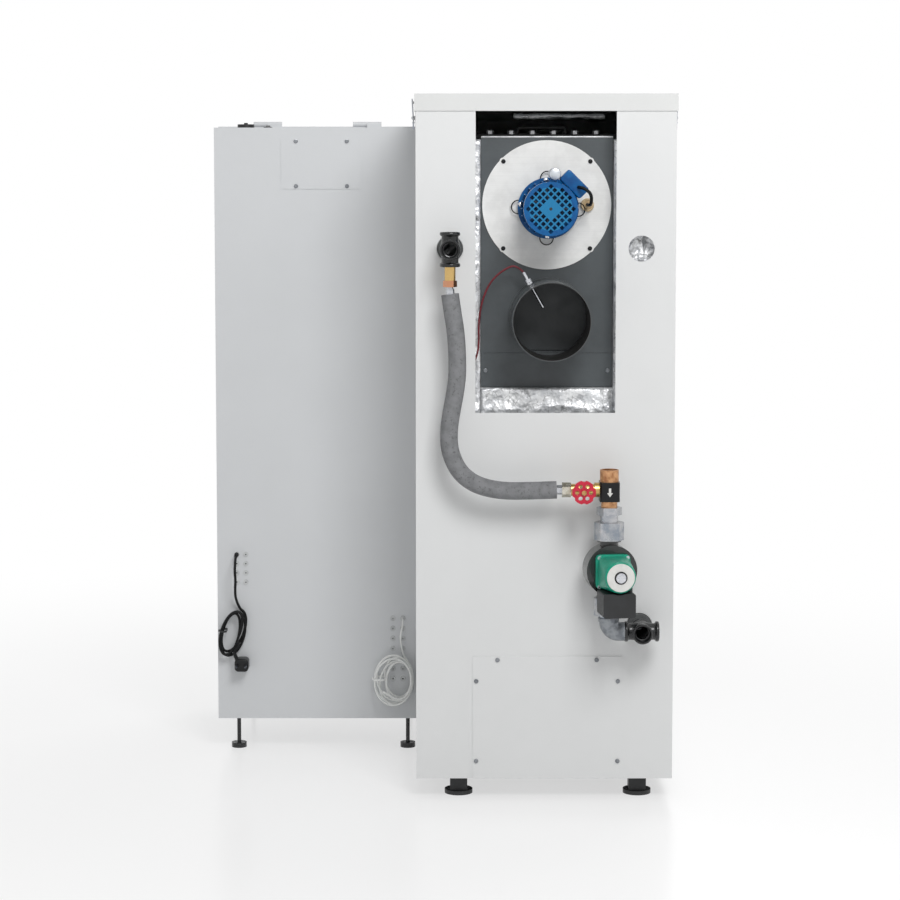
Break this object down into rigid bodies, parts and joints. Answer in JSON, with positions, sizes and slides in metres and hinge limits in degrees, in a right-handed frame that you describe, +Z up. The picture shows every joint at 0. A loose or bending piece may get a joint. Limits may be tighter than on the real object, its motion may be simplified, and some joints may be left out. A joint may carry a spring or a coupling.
{
  "type": "pellet boiler",
  "caption": "Free-standing pellet boiler with a side hopper, rear flue, flue-gas fan and a return pump set.",
  "frame": {"origin": "middle of the whole footprint, on the floor", "axes": "+Z up, -Y towards the side with the flue and pipes, +X towards the boiler and away from the hopper"},
  "size_m": [0.9328, 1.0722, 1.371],
  "materials": {
    "casing_paint": "fine light grey powder coat",
    "boiler_steel": "dull grey primer on welded steel",
    "zinc_steel": "zinc plated, satin",
    "foil_wool": "crinkled silver foil over mineral wool",
    "smoke_box_paint": "matt black heat-proof paint",
    "bare_aluminium": "rolled sheet, satin",
    "motor_blue": "gloss blue enamel",
    "brass": "machined, slightly dull",
    "black_iron": "black malleable iron",
    "pump_iron": "dark coated casting",
    "pump_green": "green enamel",
    "black_plastic": "fine textured",
    "red_plastic": "satin red",
    "grey_foam": "closed-cell foam",
    "light_grey_rubber": "soft grey",
    "white_sheath": "white cable sheath",
    "black_sheath": "black cable sheath",
    "red_sheath": "red silicone sheath",
    "screen_plastic": "glossy black"
  },
  "bodies": {
    "boiler_and_hopper": {"base_frame": "boiler_steel", "boiler_feet": "black_plastic", "left_side_casing": "casing_paint", "right_side_casing": "casing_paint", "rear_casing": "casing_paint", "rear_access_cover": "casing_paint", "screws_and_nuts": "zinc_steel", "front_casing": "casing_paint", "body_insulation": "foil_wool", "heat_exchanger": "boiler_steel", "top_hatch": "boiler_steel", "smoke_box": "smoke_box_paint", "smoke_box_cover": "smoke_box_paint", "flue_pipe": "smoke_box_paint", "flue_probe": "red_sheath", "fan_plate": "bare_aluminium", "motor_stator": "motor_blue", "motor_cowl": "motor_blue", "motor_electrics": "motor_blue", "control_unit": "screen_plastic", "burner": "zinc_steel", "flow_cross": "black_iron", "return_cross": "black_iron", "bypass_hose": "zinc_steel", "hose_insulation": "grey_foam", "gate_valve_body": "brass", "mixing_valve": "brass", "mixing_valve_cover": "black_plastic", "union_nuts": "zinc_steel", "pump_volute": "pump_iron", "pump_motor": "pump_green", "pump_terminal_box": "black_plastic", "return_elbow": "zinc_steel", "hopper_casing": "casing_paint", "hopper_bin": "zinc_steel", "auger_gearmotor": "zinc_steel", "service_plate": "casing_paint", "cable_grommets": "light_grey_rubber", "main_switch_frame": "black_plastic", "hopper_legs": "black_iron", "mains_cord": "black_sheath", "mains_cord_hank": "black_sheath", "mains_plug": "black_sheath", "sensor_cord": "white_sheath", "sensor_cord_hank": "white_sheath"},
    "boiler_lid": {"boiler_lid": "casing_paint"},
    "left_latch_lever": {"left_latch_lever": "zinc_steel"},
    "left_latch_bail": {"left_latch_bail": "zinc_steel"},
    "right_latch_lever": {"right_latch_lever": "zinc_steel"},
    "right_latch_bail": {"right_latch_bail": "zinc_steel"},
    "combustion_door": {"combustion_door": "casing_paint"},
    "ash_drawer": {"ash_drawer": "casing_paint"},
    "turbulators": {"turbulators": "boiler_steel"},
    "fan_rotor": {"fan_rotor": "zinc_steel"},
    "gate_valve_handwheel": {"gate_valve_handwheel": "red_plastic"},
    "pump_vent_screw": {"pump_vent_screw": "zinc_steel"},
    "hopper_lid": {"hopper_lid": "casing_paint"},
    "auger_screw": {"auger_screw": "zinc_steel"},
    "thermostat_cap": {"thermostat_cap": "black_plastic"},
    "main_switch_rocker": {"main_switch_rocker": "black_plastic"}
  },
  "joints": [
    {"name": "lid_lift", "type": "slide", "parent": "boiler_and_hopper", "child": "boiler_lid", "axis": [0, 0, 1], "range_m": [0, 0.12]},
    {"name": "left_latch", "type": "hinge", "parent": "boiler_and_hopper", "child": "left_latch_lever", "pos_m": [-0.0474, -0.293, 1.326], "axis": [0, 1, 0], "range_deg": [0, 150]},
    {"name": "left_bail_turn", "type": "hinge", "parent": "left_latch_lever", "child": "left_latch_bail", "pos_m": [-0.0474, -0.293, 1.317], "axis": [0, 1, 0], "range_deg": [-161, 0]},
    {"name": "right_latch", "type": "hinge", "parent": "boiler_and_hopper", "child": "right_latch_lever", "pos_m": [0.4626, -0.293, 1.326], "axis": [0, -1, 0], "range_deg": [0, 150]},
    {"name": "right_bail_turn", "type": "hinge", "parent": "right_latch_lever", "child": "right_latch_bail", "pos_m": [0.4626, -0.293, 1.317], "axis": [0, -1, 0], "range_deg": [-161, 0]},
    {"name": "door_hinge", "type": "hinge", "parent": "boiler_and_hopper", "child": "combustion_door", "pos_m": [0.0356, 0.496, 0.545], "axis": [0, 0, 1], "range_deg": [0, 110]},
    {"name": "drawer_slide", "type": "slide", "parent": "boiler_and_hopper", "child": "ash_drawer", "axis": [0, 1, 0], "range_m": [0, 0.35]},
    {"name": "turbulator_lift", "type": "slide", "parent": "boiler_and_hopper", "child": "turbulators", "axis": [0, 0, 1], "range_m": [0, 0.04]},
    {"name": "fan_spin", "type": "hinge", "parent": "boiler_and_hopper", "child": "fan_rotor", "pos_m": [0.2136, -0.343, 1.152], "axis": [0, 1, 0], "continuous": true},
    {"name": "valve_turn", "type": "hinge", "parent": "boiler_and_hopper", "child": "gate_valve_handwheel", "pos_m": [0.2776, -0.453, 0.616], "axis": [0, -1, 0], "range_deg": [0, 1080]},
    {"name": "vent_screw_turn", "type": "hinge", "parent": "boiler_and_hopper", "child": "pump_vent_screw", "pos_m": [0.3281, -0.421, 0.464], "axis": [0.1392, -0.9903, 0], "range_deg": [0, 720]},
    {"name": "hopper_lid_hinge", "type": "hinge", "parent": "boiler_and_hopper", "child": "hopper_lid", "pos_m": [-0.2564, 0.125, 1.323], "axis": [1, 0, 0], "range_deg": [0, 95]},
    {"name": "auger_spin", "type": "hinge", "parent": "boiler_and_hopper", "child": "auger_screw", "pos_m": [-0.0924, 0.257, 0.47], "axis": [1, 0, 0], "continuous": true},
    {"name": "thermostat_cap_turn", "type": "hinge", "parent": "boiler_and_hopper", "child": "thermostat_cap", "pos_m": [-0.4024, 0.063, 1.318], "axis": [0, 0, 1], "range_deg": [0, 360]},
    {"name": "main_switch_tilt", "type": "hinge", "parent": "boiler_and_hopper", "child": "main_switch_rocker", "pos_m": [-0.3564, 0.063, 1.314], "axis": [1, 0, 0], "range_deg": [-18, 0]}
  ],
  "couplings": [
    {"joint": "left_bail_turn", "follows": "left_latch", "ratio": -1.07},
    {"joint": "right_bail_turn", "follows": "right_latch", "ratio": -1.07}
  ]
}
